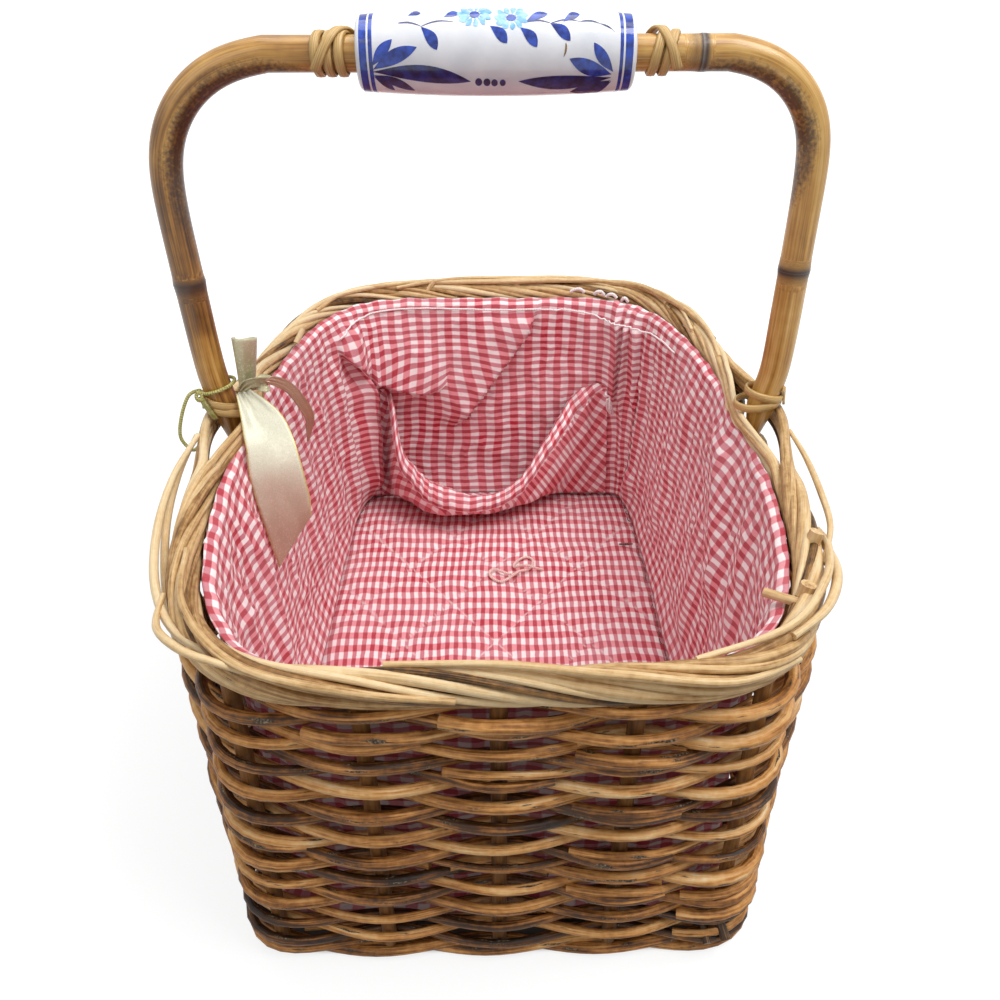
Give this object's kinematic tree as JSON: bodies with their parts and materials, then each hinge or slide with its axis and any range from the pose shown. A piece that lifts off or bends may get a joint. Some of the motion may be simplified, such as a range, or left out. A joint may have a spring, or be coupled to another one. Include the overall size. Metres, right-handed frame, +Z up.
{
  "type": "picnic basket",
  "caption": "Open wicker picnic basket with a rolled rim, a fixed bent-cane handle carrying a loose turning ceramic grip, and a checked cloth lining with padded floor and back pocket.",
  "frame": {"origin": "centre of the base on the ground, at the bottom centre of the part's box", "axes": "+Z up, +X across from the left leg of the handle to the right leg, +Y along the basket to the end with the pocket"},
  "size_m": [0.3135, 0.4054, 0.3595],
  "materials": {
    "stake_willow": "satin, bark left on",
    "weaver_willow": "satin, brown and tan rods",
    "rim_willow": "satin, peeled straw-coloured rods",
    "base_willow": "dull",
    "cane_strip": "satin, split cane",
    "handle_cane": "varnished, scorched at the bends",
    "glazed_ceramic": "glazed white with blue brushwork",
    "gingham": "matt red and white check",
    "satin_ribbon": "satin, champagne gold",
    "tie_cord": "satin, olive gold",
    "floor_cord": "matt, pale elastic cord"
  },
  "bodies": {
    "basket": {"stake_right_1": "stake_willow", "stake_right_2": "stake_willow", "stake_right_3": "stake_willow", "stake_right_4": "stake_willow", "stake_right_5": "stake_willow", "stake_right_6": "stake_willow", "stake_back_1": "stake_willow", "stake_back_2": "stake_willow", "stake_back_3": "stake_willow", "stake_back_4": "stake_willow", "stake_back_5": "stake_willow", "stake_left_1": "stake_willow", "stake_left_2": "stake_willow", "stake_left_3": "stake_willow", "stake_left_4": "stake_willow", "stake_left_5": "stake_willow", "stake_left_6": "stake_willow", "stake_front_1": "stake_willow", "stake_front_2": "stake_willow", "stake_front_3": "stake_willow", "stake_front_4": "stake_willow", "stake_front_5": "stake_willow", "weaver_odd_1": "weaver_willow", "weaver_odd_2": "weaver_willow", "weaver_odd_3": "weaver_willow", "weaver_odd_4": "weaver_willow", "weaver_even_1": "weaver_willow", "weaver_even_2": "weaver_willow", "weaver_even_3": "weaver_willow", "weaver_even_4": "weaver_willow", "rim_strand_1": "rim_willow", "rim_strand_2": "rim_willow", "rim_strand_3": "rim_willow", "rim_strand_4": "rim_willow", "base_stick_left": "base_willow", "base_stick_middle": "base_willow", "base_stick_right": "base_willow", "foot_ring": "base_willow", "base_mat": "base_willow", "grip_wrap_left": "cane_strip", "grip_wrap_right": "cane_strip", "lashing_left": "cane_strip", "lashing_right": "cane_strip", "handle_cane": "handle_cane", "liner_wall": "gingham", "floor_pad": "gingham", "pocket": "gingham", "ribbon_curl": "satin_ribbon", "ribbon_tail": "satin_ribbon", "ribbon_short_tail": "satin_ribbon", "ribbon_tie": "tie_cord", "floor_cord": "floor_cord"},
    "grip": {"ceramic_grip": "glazed_ceramic"}
  },
  "joints": [
    {"name": "grip_spin", "type": "hinge", "parent": "basket", "child": "grip", "pos_m": [0.0015, 0, 0.34305], "axis": [1, 0, 0], "continuous": true}
  ]
}
